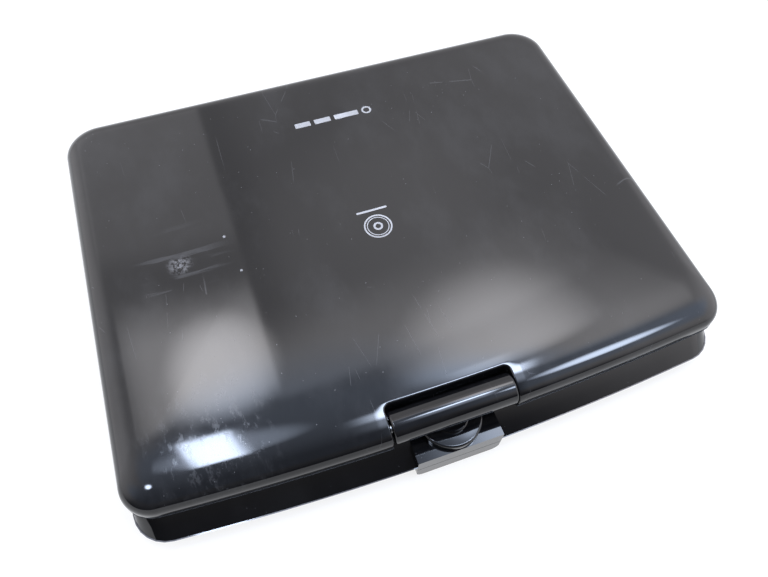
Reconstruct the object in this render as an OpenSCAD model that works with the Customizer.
// Portable disc player with a nine inch swivel screen, closed.
// Origin: middle of the footprint, on the surface the feet stand on. The user sits at -Y, the hinge is at +Y.

/* [Base] */
// Width of the base at its parting line
base_w = 250; // [246:1:254]
// Distance from the origin to the front of the base
base_front = 101; // [100:0.5:102]
// Distance from the origin to the middle of the bowed rear edge
base_rear = 100.4; // [99.8:0.2:100.8]
// How far the rear corners of the base fall behind its middle
base_sag = 6; // [5:0.5:7]
// Height of the parting line between the two base shells
part_z = 9; // [8.8:0.1:9.1]
// Height of the deck
deck_z = 21.5; // [21.4:0.05:21.6]
// Thickness of the plastic shells of the base
wall = 2; // [1.8:0.1:2.2]
// Height of the rubber feet
foot_h = 1; // [0.8:0.1:1.2]

/* [Screen] */
// Width of the screen shell
lid_w = 248; // [244:1:250]
// Distance from the origin to the front of the screen shell
lid_front = 100; // [99:0.5:100.5]
// Distance from the origin to the middle of its bowed hinge edge
lid_rear = 94.5; // [94:0.1:94.8]
// How far the hinge edge falls back at the corners
lid_sag = 5.5; // [5:0.5:6]
// Height of the underside of the closed screen
lid_z = 22; // [21.9:0.05:22]
// Height of the top of the closed screen
lid_top = 36; // [35.6:0.1:37]
// Height of the joint between bezel and back cover
bezel_z = 24.2; // [24:0.1:24.4]
// Width of the picture
window_w = 199; // [190:1:202]
// Depth of the picture
window_d = 113; // [105:1:115]
// Middle of the picture, along Y
window_y = -14; // [-16:1:-12]

/* [Hinge] */
// Y of the vertical swivel axis and of the tilt axis
hinge_y = 88; // [87.8:0.1:88.2]
// Height of the tilt axis
tilt_z = 29; // [28.9:0.05:29.1]
// Length of the hinge barrel
barrel_len = 50; // [48:0.5:50.4]
// Radius of the hinge barrel
barrel_r = 6.3; // [6.2:0.05:6.4]
// Radius of the round swivel cover
disc_r = 12.75; // [12:0.25:13]
// Half width of the tongue that carries the swivel
tongue_w = 18; // [17.5:0.5:18.5]
// Height of the top of the tongue
tongue_z = 17; // [16.8:0.1:17]
// Distance from the origin to the rear wall of the tongue
tongue_rear = 101; // [101:0.1:101.4]

/* [Disc drive] */
// X of the middle of the disc
spindle_x = -45; // [-46:0.5:-45]
// Y of the middle of the disc
spindle_y = -8; // [-8.5:0.5:-7.5]
// Radius of the well that the disc lies in
well_r = 62; // [61.5:0.25:62.5]
// Height of the floor of the well
well_z = 15; // [14.9:0.05:15.05]
// Travel of the laser sled
sled_travel = 36; // [30:1:36]

/* [Keys] */
// Travel of a key
key_travel = 0.6; // [0.4:0.1:0.6]
// X of the middle of the round navigation pad
nav_x = 73; // [72:0.5:74]
// Y of the middle of the round navigation pad
nav_y = 8; // [7:0.5:9]

/* [Hidden] */

$fn = 48;
eps = 0.01;

gloss_black = "#1d1e22";
matte_black = "#2b2c2e";
key_silver = "#8d9094";
steel = "#a9adb2";
board_green = "#2f5a3c";
rubber = "#202020";

spindle = [spindle_x, spindle_y];
nav_pos = [nav_x, nav_y];
window = [window_w, window_d];
floor_z = foot_h + wall;        // inside floor of the base
ceiling_z = deck_z - wall;      // inside of the deck
lid_wall = 1.6;
notch_w = barrel_len + 1.2;     // gap in the hinge edge that holds the barrel
notch_back = hinge_y - 7.4;
notch_r = 2.5;
board_z = 7;                    // underside of the main board
board_t = 1.6;
key_board_z = 15;
key_board_t = 1.2;
stem_z = key_board_z + key_board_t + 1 + key_travel + 0.1;  // underside of the key stems, just above their switches
flange_z = 18.6;                // collar that keeps a key under the deck
cap_z = 19.2;
key_top = 21.3;
side_z = 12.6;                  // height of the sockets in the right-hand side
side_x = 124;                   // plane of their mouths
dc_y = 44;
dc_nose_r = 3.25;
av_y = 16;
headphone_y = 4;
jack_nose_r = 3.1;
jack_bore_r = 1.8;              // for a 3.5 mm plug
jack_depth = 14;
wheel_pos = [115.3, -12];
rod_z = 10.4;                   // height of the guide rods and the lead screw
rod_x = 20;
rod_near = -9;                  // ends of the guide rods, along Y from the spindle
rod_far = -37 - sled_travel;
screw_x = 30;
chassis_z = 6;
chassis_t = 1.4;
mount_top = 12.2;               // top of the posts that hold the rods
seat_r = 14;                    // round seat that the swivel cover turns in
door_z = 19.9;                  // underside of the disc door
door_axis = [60, 17];           // Y and Z of its hinge
door_arm_x = 16;                // its arms, either side of its middle
door_lug_x = [11.4, 21.9, -12.9, -23.4];
shaft_r = 5;
pin_r = 1.75;
case_bosses = [[-113, -84], [113, -84], [-113, 76], [113, 76], [-32, 80], [32, 80], [24, -86]];
board_posts = [[40, -44], [40, 48], [86, -44], [98, 48]];
key_posts = [[44.5, -30], [101.5, -30], [44.5, 28], [101.5, 28]];
loader_posts = [for (x = [-30, 34], y = [-72, 20]) spindle + [x, y]];
lid_bosses = [[-108, -88], [108, -88], [-108, 76], [108, 76]];
bracket_bosses = [for (x = [-32, 32], y = [66, 75]) [x, y]];
speaker_pos = [[-88, 62], [88, 62]];
feet_pos = [[-107, -70], [107, -70], [-107, 62], [107, 62]];
key_rows = [[54, -22], [73, -22], [92, -22], [54, -38], [92, -38]];
open_pos = [-45, -86];
bottom_levels = [0, 0.1, 0.25, 0.5, 0.75, 1];
top_levels = [0, 0.3, 0.6, 0.8, 0.9, 0.96, 1];
lid_levels = [0, 0.16, 0.36, 0.53, 0.67, 0.78, 0.86, 0.92, 0.95, 0.97, 0.985, 1];
lid_skin_levels = [0, 0.36, 0.6, 0.78, 0.9, 0.95, 1];

// ---- outlines and lofts ----

function arc(c, r, a0, a1, n = 6) =
    [for (i = [0 : n]) let (a = a0 + (a1 - a0) * i / n) c + r * [cos(a), sin(a)]];

function rounded_rect(w, d, r) = concat(
    arc([w / 2 - r, r - d / 2], r, -90, 0), arc([w / 2 - r, d / 2 - r], r, 0, 90),
    arc([r - w / 2, d / 2 - r], r, 90, 180), arc([r - w / 2, r - d / 2], r, 180, 270));

// Rounded rectangle whose rear edge is one shallow arc, sag deep over its half width.
function bowed(half_w, front, rear, sag, r_front, r_rear) =
    let (bow_r = (half_w * half_w + sag * sag) / (2 * sag),
         bow_y = rear - bow_r,
         cx = half_w - r_rear,
         cy = bow_y + sqrt(pow(bow_r - r_rear, 2) - cx * cx),
         a = atan2(cy - bow_y, cx),
         bow = arc([0, bow_y], bow_r, a, 180 - a, 16))
    concat(
        arc([r_front - half_w, front + r_front], r_front, 180, 270),
        arc([half_w - r_front, front + r_front], r_front, 270, 360),
        arc([cx, cy], r_rear, 0, a),
        [for (i = [1 : len(bow) - 2]) bow[i]],
        arc([-cx, cy], r_rear, 180 - a, 180));

function at_z(points, z) = [for (p = points) [p[0], p[1], z]];

// Share of an edge's width that its surface has come in by when it has risen by the share t.
function roll(t, k) = 1 - pow(1 - pow(t, k), 1 / k);

// Rings are level outlines with the same number of points, from the lowest up.
module loft(rings) {
    n = len(rings[0]);
    m = len(rings);
    polyhedron(
        points = [for (ring = rings) each ring],
        faces = concat(
            [[for (i = [0 : n - 1]) i]],
            [for (k = [0 : m - 2], i = [0 : n - 1]) let (a = k * n, j = (i + 1) % n) [a + i, a + n + i, a + n + j]],
            [for (k = [0 : m - 2], i = [0 : n - 1]) let (a = k * n, j = (i + 1) % n) [a + i, a + n + j, a + j]],
            [[for (i = [1 : n]) m * n - i]]));
}

// ---- small shapes ----

module block(lo, hi) {
    translate(lo) cube(hi - lo);
}

module post(pos, r, z0, z1) {
    translate([pos[0], pos[1], z0]) cylinder(r = r, h = z1 - z0);
}

module x_rod(r, x0, x1, y, z) {
    translate([x0, y, z]) rotate([0, 90, 0]) cylinder(r = r, h = x1 - x0);
}

module y_rod(r, y0, y1, x, z) {
    translate([x, y0, z]) rotate([-90, 0, 0]) cylinder(r = r, h = y1 - y0);
}

module ring(pos, r_out, r_in, z0, z1) {
    difference() {
        post(pos, r_out, z0, z1);
        post(pos, r_in, z0 - 1, z1 + 1);
    }
}

// A bar with round ends, long way along X, standing on z = 0.
module pill(w, d, h) {
    linear_extrude(h) polygon(rounded_rect(w, d, d / 2 - eps));
}

// A screw with its head down at z0 and its tip up at z1.
module screw_up(pos, head_r, shank_r, z0, z_head, z1) {
    post(pos, head_r, z0, z_head);
    post(pos, shank_r, z_head, z1);
}

// ---- base shells ----

function bottom_ring(z, inset) =
    let (d = inset + 6.5 * pow((part_z - z) / (part_z - foot_h), 2))
    at_z(bowed(base_w / 2 - d, d - base_front, base_rear - d, base_sag, 17 - d / 2, 14 - d / 2), z);

function top_ring(z, inset, drop) =
    let (t = (z - part_z) / (deck_z - part_z),
         side = inset + 0.4 + 1.2 * t + 2.5 * roll(t, 4),
         rear = inset + 0.4 + 12.5 * t + 12.5 * roll(t, 4))
    at_z(bowed(base_w / 2 - side, side - base_front, base_rear - rear, base_sag, 17 - side / 2, 14 - side / 2),
         z - drop);

module tongue(z0, z1, half_w, rear) {
    block([-half_w, hinge_y - 16, z0], [half_w, rear, z1]);
}

// Cuts the two lower corners of the tongue round.
module tongue_lower() {
    r = 3.5;
    rotate([90, 0, 0]) translate([0, 0, -tongue_rear]) linear_extrude(18)
        polygon(concat(
            arc([r - tongue_w, foot_h + r], r, 180, 270), arc([tongue_w - r, foot_h + r], r, 270, 360),
            [[tongue_w, part_z], [-tongue_w, part_z]]));
}

module bottom_case() color(matte_black) {
    difference() {
        union() {
            difference() {
                union() {
                    loft([for (t = bottom_levels) bottom_ring(foot_h + t * (part_z - foot_h), 0)]);
                    tongue_lower();
                }
                loft([for (t = [0, 0.3, 0.6, 1]) bottom_ring(floor_z + t * (part_z + eps - floor_z), wall)]);
                tongue(floor_z, part_z + eps, tongue_w - wall, tongue_rear - wall);
            }
            for (p = case_bosses) post(p, 4, floor_z - eps, part_z);
            for (p = board_posts) post(p, 3, floor_z - eps, board_z);
            for (p = loader_posts) post(p, 3, floor_z - eps, chassis_z - 1);
            for (x = [-6, 6]) post([spindle[0] + x, -90], 2, floor_z - eps, 12);
        }
        for (p = case_bosses) {
            post(p, 1.5, 0, part_z + 1);
            post(p, 2.8, 0, foot_h + 2.4);
        }
        for (p = concat(board_posts, loader_posts)) post(p, 1, floor_z, 12);
        for (p = feet_pos) post(p, 6.1, 0, foot_h + 0.6);
        block([38, -91, 0], [98, -57, floor_z + 1]);
        for (i = [0 : 8]) block([50 + 5 * i, -30, 0], [52.4 + 5 * i, -6, floor_z + 1]);
    }
}

module deck_holes() {
    for (p = key_rows) translate([p[0], p[1], ceiling_z - 1]) pill(14.5, 8.5, 4);
    post(nav_pos, 18.8, ceiling_z - 1, deck_z + 1);
    translate([open_pos[0], open_pos[1], ceiling_z - 1]) pill(26.5, 9.5, 4);
    for (p = speaker_pos) translate([p[0], p[1], ceiling_z - 1]) pill(36.4, 18.4, 4);
    for (x = [100, 108]) post([x, -88], 1.25, ceiling_z - 1, deck_z + 1);
    // pockets for the arms of the door hinge
    for (s = [-1, 1]) translate([spindle[0] + s * door_arm_x, 0, 0]) {
        block([-3, 48, door_z], [3, 57, deck_z + 1]);
        block([-3, 56, ceiling_z - 1], [3, 63, deck_z + 1]);
    }
    // way for the door hook
    block([spindle[0] - 6, -76, 16], [spindle[0] + 6, -69, door_z]);
}

module side_holes() {
    x_rod(dc_nose_r + 0.15, 118, 130, dc_y, side_z);
    for (y = [av_y, headphone_y]) x_rod(jack_nose_r + 0.2, 118, 130, y, side_z);
    block([118, 25, 11.2], [130, 35, 14.2]);
    block([118, -19, 10.9], [130, -5, 13.9]);
    block([118, -48.4, 9.7], [130, -23.6, 12.5]);
    block([87.8, -110, 11.9], [102.2, -95, 17.1]);
}

module well_floor_opening() {
    post(spindle, 12.5, well_z - 5, well_z + 2);
    intersection() {
        post(spindle, well_r - 1, well_z - 5, well_z + 2);
        block([spindle[0] - 14, spindle[1] - 64, well_z - 5], [spindle[0] + 14, spindle[1] - 4, well_z + 2]);
    }
}

module top_outer() {
    loft([for (t = top_levels) top_ring(part_z + t * (deck_z - part_z), 0, 0)]);
}

// Walls round the swivel seat, between the tongue and the deck above it.
module seat_walls() {
    intersection() {
        top_outer();
        union() {
            post([0, hinge_y], seat_r + 1.6, tongue_z - wall, deck_z);
            for (x = [-tongue_w - 1.6, tongue_w]) block([x, hinge_y, part_z], [x + 1.6, tongue_rear, deck_z]);
        }
    }
}

// Ear under the deck that carries one end of a door pin.
module door_lug(x) {
    difference() {
        block([x, 57.5, 15.4], [x + 1.5, 62.5, ceiling_z + 0.3]);
        x_rod(1, x - 1, x + 3, door_axis[0], door_axis[1]);
    }
}

module top_case() color(gloss_black) {
    difference() {
        union() {
            difference() {
                union() {
                    top_outer();
                    tongue(part_z, tongue_z, tongue_w, tongue_rear);
                }
                loft(concat([top_ring(part_z, wall, 1)],
                    [for (t = top_levels) top_ring(part_z + t * (deck_z - part_z), wall, wall * t)]));
                tongue(part_z - 1, tongue_z - wall, tongue_w - wall, tongue_rear - wall);
            }
            seat_walls();
            post(spindle, well_r + wall, well_z - 1.5, ceiling_z + eps);
            post([0, hinge_y], 10, 11.5, tongue_z);
            for (p = case_bosses) post(p, 3.2, part_z, ceiling_z + 0.3);
            for (p = key_posts) post(p, 2.2, key_board_z + key_board_t, ceiling_z + eps);
            for (x = door_lug_x) door_lug(spindle[0] + x);
        }
        post(spindle, well_r, well_z, deck_z + 1);
        post(spindle, 66, 19.9, deck_z + 1);
        well_floor_opening();
        // flat seat for the swivel, open to the rear
        post([0, hinge_y], seat_r, tongue_z, deck_z + 1);
        block([-tongue_w, hinge_y, tongue_z], [tongue_w, tongue_rear + 1, deck_z + 1]);
        post([0, hinge_y], 8, 11, tongue_z + 1);
        for (p = case_bosses) post(p, 1.2, part_z - 1, 14);
        for (p = key_posts) post(p, 1, 10, 19);
        deck_holes();
        side_holes();
    }
}

module rubber_feet() color(rubber) {
    for (p = feet_pos) post(p, 6, 0, foot_h + 0.6);
}

module battery_cover() color(matte_black) {
    difference() {
        block([38.2, -90.8, foot_h], [97.8, -57.2, floor_z]);
        for (i = [0 : 2]) block([60 + 6 * i, -87, 0], [62 + 6 * i, -79, foot_h + 0.5]);
    }
}

module battery_pack() color("#3c4650") {
    translate([70, -74, floor_z]) linear_extrude(11) polygon(rounded_rect(72, 38, 3));
}

module case_screws() color(steel) {
    for (p = case_bosses) screw_up(p, 2.5, 1.15, foot_h + 0.8, foot_h + 2.4, 13);
}

// ---- disc door ----

module disc_door() color(gloss_black) {
    post(spindle, 65.7, door_z, door_z + 1.5);
    translate([spindle[0], 0, 0]) {
        difference() {
            for (s = [-1, 1]) {
                block([s * door_arm_x - 2.5, 50, door_z], [s * door_arm_x + 2.5, 61.8, door_z + 1.5]);
                block([s * door_arm_x - 2.5, 57.6, 15.6], [s * door_arm_x + 2.5, 61.8, door_z + 1]);
            }
            x_rod(1, -40, 40, door_axis[0], door_axis[1]);
        }
        block([-4, -72, 16.6], [4, -70.8, door_z + eps]);
        block([-4, -73.4, 16.6], [4, -71, 17.4]);
    }
}

module door_pins() color(steel) {
    for (s = [-1, 1]) x_rod(1, spindle[0] + s * 17.4 - 5.9, spindle[0] + s * 17.4 + 5.9, door_axis[0], door_axis[1]);
}

// Closed coils round the pins, outside the arms.
module door_springs() color(steel) {
    for (s = [-1, 1]) difference() {
        x_rod(2.1, spindle[0] + s * 20.3 - 1.2, spindle[0] + s * 20.3 + 1.2, door_axis[0], door_axis[1]);
        x_rod(1.15, spindle[0] - 40, spindle[0] + 40, door_axis[0], door_axis[1]);
    }
}

// Slider whose nose holds the hook of the door down.
module door_latch() color(key_silver) {
    translate([spindle[0], 0, 0]) {
        block([-8, -92, 12], [8, -73.6, 13.4]);
        block([-4, -74.8, 13], [4, -73.6, 18.6]);
        block([-4, -74, 17.6], [4, -72.3, 18.6]);
    }
}

// ---- disc drive ----

module at_spindle() {
    translate([spindle[0], spindle[1], 0]) children();
}

module loader_chassis() color(matte_black) {
    at_spindle() difference() {
        union() {
            block([-36, rod_far - 5, chassis_z], [38, 26, chassis_z + chassis_t]);
            for (x = [-rod_x, rod_x], y = [rod_far, rod_near - 4])
                block([x - 3, y, chassis_z], [x + 3, y + 4, mount_top]);
            block([screw_x - 3, rod_far + 5, chassis_z], [screw_x + 3, rod_far + 8, mount_top]);
        }
        for (x = [-rod_x, rod_x]) y_rod(1.5, -80, 0, x, rod_z);
        y_rod(1.45, -80, 0, screw_x, rod_z);
        for (x = [-30, 34], y = [-72, 20]) post([x, y], 3, 0, 20);
        block([-14, -66, 0], [14, -18, 20]);
    }
}

module damper_grommets() color(rubber) {
    for (p = loader_posts) difference() {
        union() {
            post(p, 3.8, chassis_z - 1, chassis_z);
            post(p, 3, chassis_z, chassis_z + chassis_t);
            post(p, 3.8, chassis_z + chassis_t, chassis_z + chassis_t + 1);
        }
        post(p, 1.6, 0, 20);
    }
}

module spindle_motor() color(steel) {
    at_spindle() difference() {
        post([0, 0], 11.5, chassis_z + chassis_t, 12.8);
        post([0, 0], 1.05, 8, 20);
    }
}

module spindle_hub() color("#3a3c40") {
    at_spindle() {
        post([0, 0], 1, 8.2, 15.4);
        post([0, 0], 11, 15, 16.2);
        post([0, 0], 7.3, 16.2, 18);
        translate([0, 0, 18]) cylinder(r1 = 7.3, r2 = 5.6, h = 1);
        for (a = [0 : 120 : 240]) rotate(a) translate([7, 0, 17.6]) sphere(r = 0.8);
    }
}

module guide_rods() color(steel) {
    at_spindle() for (x = [-rod_x, rod_x]) y_rod(1.5, rod_far, rod_near, x, rod_z);
}

module laser_sled() color("#4a4a48") {
    at_spindle() difference() {
        union() {
            block([-24, -29, 8.2], [24, -15, 12.6]);
            block([24, -26, 8.2], [33.5, -18, 12.6]);
            post([0, -22], 5, 12.6, 13.2);
        }
        for (x = [-rod_x, rod_x]) y_rod(1.55, -40, 0, x, rod_z);
        y_rod(1.8, -40, 0, screw_x, rod_z);
    }
}

module laser_lens() color("#7fa0c8") {
    at_spindle() {
        post([0, -22], 2.8, 13.2, 13.8);
        translate([0, -22, 13.8]) cylinder(r1 = 2.4, r2 = 1.2, h = 0.5);
    }
}

module lead_screw() color(steel) {
    at_spindle() y_rod(1.4, rod_far + 5.4, -13.2, screw_x, rod_z);
}

module sled_motor() color(steel) {
    at_spindle() y_rod(3, -13, 3, screw_x, rod_z);
}

module loader_ribbon() color("#d8d2c0") {
    z0 = chassis_z + chassis_t;
    z1 = board_z + board_t;
    translate([0, 6, 0]) rotate([90, 0, 0]) linear_extrude(9)
        polygon([[-12, z0], [20, z0], [30, z1], [46, z1], [46, z1 + 0.3], [29.9, z1 + 0.3], [19.9, z0 + 0.3],
                 [-12, z0 + 0.3]]);
}

// ---- boards and sockets ----

module main_board() color(board_green) {
    top = board_z + board_t;
    difference() {
        block([34, -50, board_z], [119, 54, top]);
        for (p = board_posts) post(p, 1.2, 0, 20);
    }
    block([56, -20, top], [74, -2, top + 1.4]);
    block([60, 8, top], [78, 16, top + 1.2]);
    for (x = [84, 92], y = [-16, 22]) post([x, y], 3, top, top + 5);
    for (i = [0 : 5]) block([50 + 5 * i, 24, top], [52 + 5 * i, 27, top + 0.8]);
    block([47, -4, top], [51, 7, top + 2]);
    // bodies of the power switch and the volume control
    block([112, 24, top], [120.8, 36, 14.6]);
    post(wheel_pos, 5, top, 10.8);
    post(wheel_pos, 1.5, 10.8, 13.4);
}

module key_board() color(board_green) {
    top = key_board_z + key_board_t;
    difference() {
        block([42, -46, key_board_z], [104, 32, top]);
        for (p = key_posts) post(p, 1.2, 0, 20);
    }
    for (p = key_rows) block([p[0] - 2.5, p[1] - 2.5, top], [p[0] + 2.5, p[1] + 2.5, top + 1]);
    for (d = [[0, 0], [13, 0], [-13, 0], [0, 13], [0, -13]])
        block([nav_pos[0] + d[0] - 2.5, nav_pos[1] + d[1] - 2.5, top],
              [nav_pos[0] + d[0] + 2.5, nav_pos[1] + d[1] + 2.5, top + 1]);
}

module board_screws() color(steel) {
    for (p = board_posts) {
        post(p, 0.95, board_z - 3, board_z + board_t);
        post(p, 2, board_z + board_t, board_z + board_t + 1.2);
    }
    for (p = loader_posts) {
        post(p, 0.95, floor_z + 0.4, chassis_z + chassis_t + 1);
        post(p, 3, chassis_z + chassis_t + 1, chassis_z + chassis_t + 2.2);
    }
    for (p = key_posts) {
        post(p, 2, key_board_z - 1.2, key_board_z);
        post(p, 0.95, key_board_z, 18.6);
    }
}

// A socket on the main board: a square body with a round nose through the side of the case.
module socket(y, nose_r, hole_r, depth) {
    difference() {
        union() {
            block([109, y - 3.5, board_z + board_t], [121.5, y + 3.5, side_z + 3]);
            x_rod(nose_r, 121.5, side_x, y, side_z);
        }
        x_rod(hole_r, side_x - depth, side_x + 1, y, side_z);
    }
}

module dc_jack() color(matte_black) {
    socket(dc_y, dc_nose_r, 2.85, 10);
    x_rod(0.85, side_x - 10.5, side_x - 1.5, dc_y, side_z);
}

module av_jack() color("#c9b23a") {
    socket(av_y, jack_nose_r, jack_bore_r, jack_depth);
}

module headphone_jack() color("#3f8f4f") {
    socket(headphone_y, jack_nose_r, jack_bore_r, jack_depth);
}

module card_socket() color(steel) {
    difference() {
        block([95, -49, board_z + board_t], [122, -23, 13]);
        block([97, -48.2, 9.9], [123, -23.8, 12.3]);
    }
}

module speakers() color("#3a3a3c") {
    for (p = speaker_pos) translate([p[0], p[1], 0]) {
        difference() {
            translate([0, 0, 16.4]) pill(38, 20, 2.8);
            translate([0, 0, 17.4]) pill(34, 16, 3);
        }
        translate([0, 0, 17.4]) linear_extrude(0.8) circle(r = 6);
        post([0, 0], 7.5, 11, 16.4);
    }
}

module speaker_grilles() color(matte_black) {
    for (p = speaker_pos) translate([p[0], p[1], ceiling_z]) difference() {
        pill(36, 18, 1.7);
        for (i = [-6 : 6]) translate([i * 2.4, 0, -1]) linear_extrude(5)
            polygon(rounded_rect(1.1, 13 - 0.12 * i * i, 0.5));
    }
}

module ir_window() color("#31141a") {
    difference() {
        block([88, -99.9, 12], [102, -97.4, 17]);
        block([89.5, -98.8, 13], [100.5, -96, 16]);
    }
}

module indicator_lenses() color("#6fcf7a") {
    for (x = [100, 108]) post([x, -88], 1.2, ceiling_z - 0.5, 21.4);
}

module hinge_cable() color(rubber) {
    z0 = board_z + board_t;
    post([0, hinge_y], 1.3, z0, 24.6);
    block([-1.3, 64, z0], [1.3, hinge_y, z0 + 1.4]);
    block([-1.3, 64, z0], [49, 66.6, z0 + 1.4]);
    block([46.4, 50, z0], [49, 66, z0 + 1.4]);
}

// ---- keys and side controls ----

module key_cap(p, w, d) {
    translate([p[0], p[1], cap_z]) pill(w, d, key_top - cap_z);
    translate([p[0], p[1], flange_z]) pill(w + 2, d + 1.6, cap_z - flange_z);
}

module menu_key(p) {
    key_cap(p, 14, 8);
    post(p, 1.5, stem_z, flange_z);
}

module nav_pad() color(key_silver) {
    difference() {
        union() {
            post(nav_pos, 18.4, cap_z, key_top);
            post(nav_pos, 19.4, flange_z, cap_z);
            for (d = [[13, 0], [-13, 0], [0, 13], [0, -13]]) post(nav_pos + d, 1.5, stem_z, flange_z);
        }
        post(nav_pos, 8.6, 17, 22);
    }
}

module ok_button() color(key_silver) {
    post(nav_pos, 8.2, flange_z, key_top);
    post(nav_pos, 1.5, stem_z, flange_z);
}

module play_button() color(key_silver) menu_key(key_rows[0]);
module stop_button() color(key_silver) menu_key(key_rows[1]);
module menu_button() color(key_silver) menu_key(key_rows[2]);
module previous_button() color(key_silver) menu_key(key_rows[3]);
module next_button() color(key_silver) menu_key(key_rows[4]);

module open_button() color(key_silver) {
    key_cap(open_pos, 26, 9);
    post(open_pos, 1.5, 14.4, flange_z);
}

module power_knob() color(key_silver) {
    block([121.2, 25.6, 11.6], [124.6, 31, 13.8]);
}

module volume_wheel() color(matte_black) {
    difference() {
        post(wheel_pos, 9.4, 11.2, 13.6);
        post(wheel_pos, 1.55, 11, 14);
        for (a = [0 : 15 : 345])
            translate([wheel_pos[0], wheel_pos[1], 11]) rotate(a) translate([9.5, 0, 0]) cylinder(r = 0.45, h = 3);
    }
}

// ---- swivel hinge ----

module swivel_bearing() color(steel) {
    ring([0, hinge_y], 8, shaft_r + 0.05, 11.5, tongue_z);
}

module swivel_shaft() color(steel) {
    difference() {
        union() {
            post([0, hinge_y], shaft_r, 10.2, 19.3);
            post([0, hinge_y], 3.3, 19.3, 25.2);
            post([0, hinge_y], 2.6, 25.2, 26.2);
        }
        post([0, hinge_y], 2, 9, 27);
    }
}

module swivel_retainer() color(steel) {
    ring([0, hinge_y], 8, shaft_r, 10.2, 11.2);
}

module swivel_disc() color(gloss_black) {
    difference() {
        union() {
            post([0, hinge_y], disc_r - 0.8, 17.3, 20.3);
            post([0, hinge_y], disc_r, 17.3, 19.5);
            post([0, hinge_y], 6.9, 20.3, 23.2);
        }
        post([0, hinge_y], shaft_r, 17, 19.3);
        post([0, hinge_y], 3.3, 19, 24);
        x_rod(barrel_r, -20, 20, hinge_y, tilt_z);
    }
}

module hinge_bracket() color(steel) {
    difference() {
        union() {
            block([-18.5, hinge_y - 3.2, 25.2], [18.5, hinge_y + 3.2, 26.2]);
            for (s = [-1, 1]) x_rod(4.6, s * 17.75 - 0.75, s * 17.75 + 0.75, hinge_y, tilt_z);
        }
        x_rod(pin_r, -30, 30, hinge_y, tilt_z);
        post([0, hinge_y], 2.6, 24, 27);
    }
}

module tilt_pins() color(steel) {
    for (s = [-1, 1]) scale([s, 1, 1]) {
        x_rod(pin_r, 15.5, 38.8, hinge_y, tilt_z);
        x_rod(3, 38.8, 39.8, hinge_y, tilt_z);
    }
}

module friction_washers() color(steel) {
    for (s = [-1, 1], i = [0, 1]) scale([s, 1, 1]) difference() {
        x_rod(3, 37.2 + 0.7 * i, 37.9 + 0.7 * i, hinge_y, tilt_z);
        x_rod(pin_r, 36, 40, hinge_y, tilt_z);
    }
}

module barrel(z0, z1) {
    half = barrel_len / 2;
    intersection() {
        difference() {
            union() {
                x_rod(barrel_r, 0.6 - half, half - 0.6, hinge_y, tilt_z);
                x_rod(barrel_r - 0.5, -half, half, hinge_y, tilt_z);
            }
            x_rod(barrel_r - 1.1, 1 - half, half - 1, hinge_y, tilt_z);
            x_rod(pin_r + 0.1, -half - 1, half + 1, hinge_y, tilt_z);
            post([0, hinge_y], 3.3, 20, 25);
        }
        block([-half, hinge_y - 10, z0], [half, hinge_y + 10, z1]);
    }
}

module barrel_cover_lower() color(gloss_black) barrel(20, tilt_z);
module barrel_cover_upper() color(gloss_black) barrel(tilt_z, 40);

// ---- screen ----

function lid_ring(t, inset, drop) =
    let (edge_z0 = 26, edge_h = lid_top - 0.6 - edge_z0,
         z = bezel_z + t * (lid_top - bezel_z),
         s = min(max((z - edge_z0) / edge_h, 0), 1),
         crown = min(max((z - edge_z0 - edge_h) / 0.6, 0), 1),
         over = 60 * (1 - sqrt(1 - crown)),
         side = inset + 10 * roll(s, 2.4) + over,
         rear = inset + 28 * roll(s, 3.4) + over)
    at_z(bowed(lid_w / 2 - side, side - lid_front, lid_rear - rear, lid_sag,
               max(15.6 - side / 2, 5), max(12.5 - side / 2, 5)), z - drop);

function bezel_ring(z) =
    let (d = 2 * pow((bezel_z - z) / (bezel_z - lid_z), 2))
    at_z(bowed(lid_w / 2 - d, d - lid_front, lid_rear - d, lid_sag, 15.6 - d / 2, 12.5 - d / 2), z);

// The gap in the hinge edge, grown by g on its closed sides.
module notch(g) {
    w = notch_w + 2 * g;
    depth = lid_rear + 10 - notch_back + g;
    translate([0, notch_back - g + depth / 2, lid_z - 1]) linear_extrude(20)
        polygon(rounded_rect(w, depth, notch_r));
}

module screen_back() color(gloss_black) {
    difference() {
        union() {
            difference() {
                loft([for (t = lid_levels) lid_ring(t, 0, 0)]);
                difference() {
                    loft(concat([at_z(lid_ring(0, lid_wall, 0), bezel_z - 1)],
                        [for (t = lid_skin_levels) lid_ring(t, lid_wall, lid_wall * t)]));
                    notch(1.6);
                }
            }
            for (p = lid_bosses) post(p, 3, bezel_z, 34.3);
            for (p = bracket_bosses) post(p, 2.6, 27.2, 34.3);
        }
        notch(0);
        for (s = [-1, 1]) scale([s, 1, 1]) {
            x_rod(2.2, 20, 30, hinge_y, tilt_z);
            x_rod(3.5, 26.8, 40.6, hinge_y, tilt_z);
        }
        for (p = concat(lid_bosses, bracket_bosses)) post(p, 1, 20, 32.4);
    }
}

module screen_bezel() color(matte_black) {
    difference() {
        loft([for (z = [lid_z, 22.4, 23, 23.6, bezel_z]) bezel_ring(z)]);
        difference() {
            loft([at_z(lid_ring(0, lid_wall, 0), 23.6), at_z(lid_ring(0, lid_wall, 0), bezel_z + 1)]);
            notch(1.6);
        }
        notch(0);
        translate([0, window_y, 20]) linear_extrude(6) polygon(rounded_rect(window[0], window[1], 1));
        for (p = lid_bosses) {
            post(p, 1.2, 20, 26);
            post(p, 3.3, 20, 22.6);
        }
    }
}

module lcd_panel() color("#15171b") {
    translate([0, window_y, 23.6]) linear_extrude(1.2) polygon(rounded_rect(window[0] + 7, window[1] + 7, 0.5));
}

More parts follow.
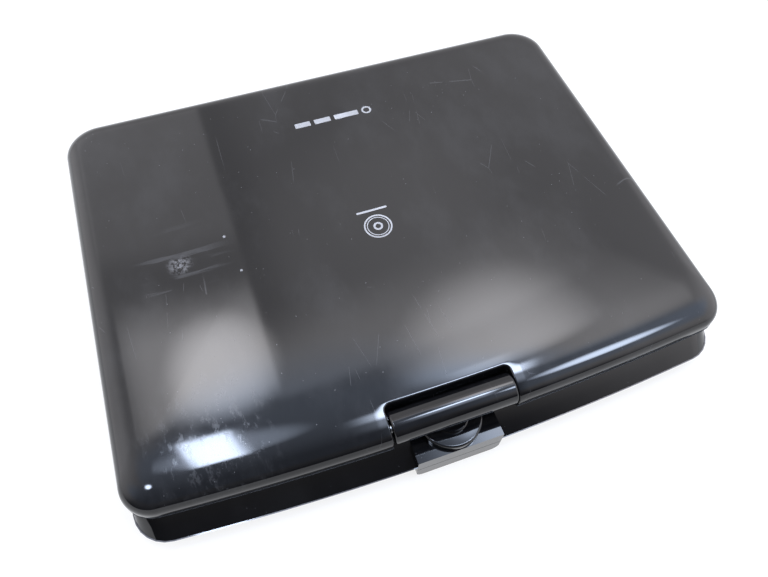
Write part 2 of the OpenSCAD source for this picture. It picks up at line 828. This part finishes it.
module backlight_tray() color(steel) {
    difference() {
        translate([0, window_y, 24.8]) linear_extrude(4) polygon(rounded_rect(window[0] + 10, window[1] + 11, 2));
        translate([0, window_y, 24]) linear_extrude(1.8) polygon(rounded_rect(window[0] + 3, window[1] + 3, 1));
    }
    for (x = [-46, 46], y = [-36, 16]) post([x, y], 2.5, 28.8, 29.4);
}

module screen_board() color(board_green) {
    block([-50, -40, 29.4], [50, 20, 31]);
    block([-20, -20, 31], [-6, -6, 32.2]);
    block([8, -10, 31], [30, -4, 32.8]);
    block([-40, 8, 31], [-22, 14, 32.6]);
}

module tilt_brackets() color(steel) {
    for (s = [-1, 1]) scale([s, 1, 1]) difference() {
        union() {
            x_rod(3.2, 27.1, 37, hinge_y, tilt_z);
            block([27.6, 62, 25.8], [36.4, hinge_y, 27.2]);
        }
        x_rod(pin_r + 0.04, 20, 40, hinge_y, tilt_z);
        for (y = [66, 75]) post([32, y], 1.2, 20, 30);
    }
}

module screen_screws() color(steel) {
    for (p = lid_bosses) {
        post(p, 0.95, bezel_z, 31);
        post(p, 1.15, 22.8, bezel_z);
    }
    for (p = bracket_bosses) {
        post(p, 2.2, 24.7, 25.8);
        post(p, 0.95, 25.8, 31);
    }
}

module screen_bumpers() color(rubber) {
    for (p = lid_bosses) post(p, 3.2, 21.6, 22.6);
}

bottom_case();
top_case();
rubber_feet();
battery_cover();
battery_pack();
case_screws();
disc_door();
door_pins();
door_springs();
door_latch();
loader_chassis();
damper_grommets();
spindle_motor();
guide_rods();
sled_motor();
main_board();
key_board();
board_screws();
dc_jack();
av_jack();
headphone_jack();
card_socket();
speakers();
speaker_grilles();
ir_window();
indicator_lenses();
loader_ribbon();
hinge_cable();
swivel_bearing();
spindle_hub();
laser_sled();
laser_lens();
lead_screw();
nav_pad();
ok_button();
play_button();
stop_button();
menu_button();
previous_button();
next_button();
open_button();
power_knob();
volume_wheel();
swivel_shaft();
swivel_retainer();
swivel_disc();
hinge_bracket();
tilt_pins();
friction_washers();
barrel_cover_lower();
barrel_cover_upper();
screen_back();
screen_bezel();
lcd_panel();
backlight_tray();
screen_board();
tilt_brackets();
screen_screws();
screen_bumpers();
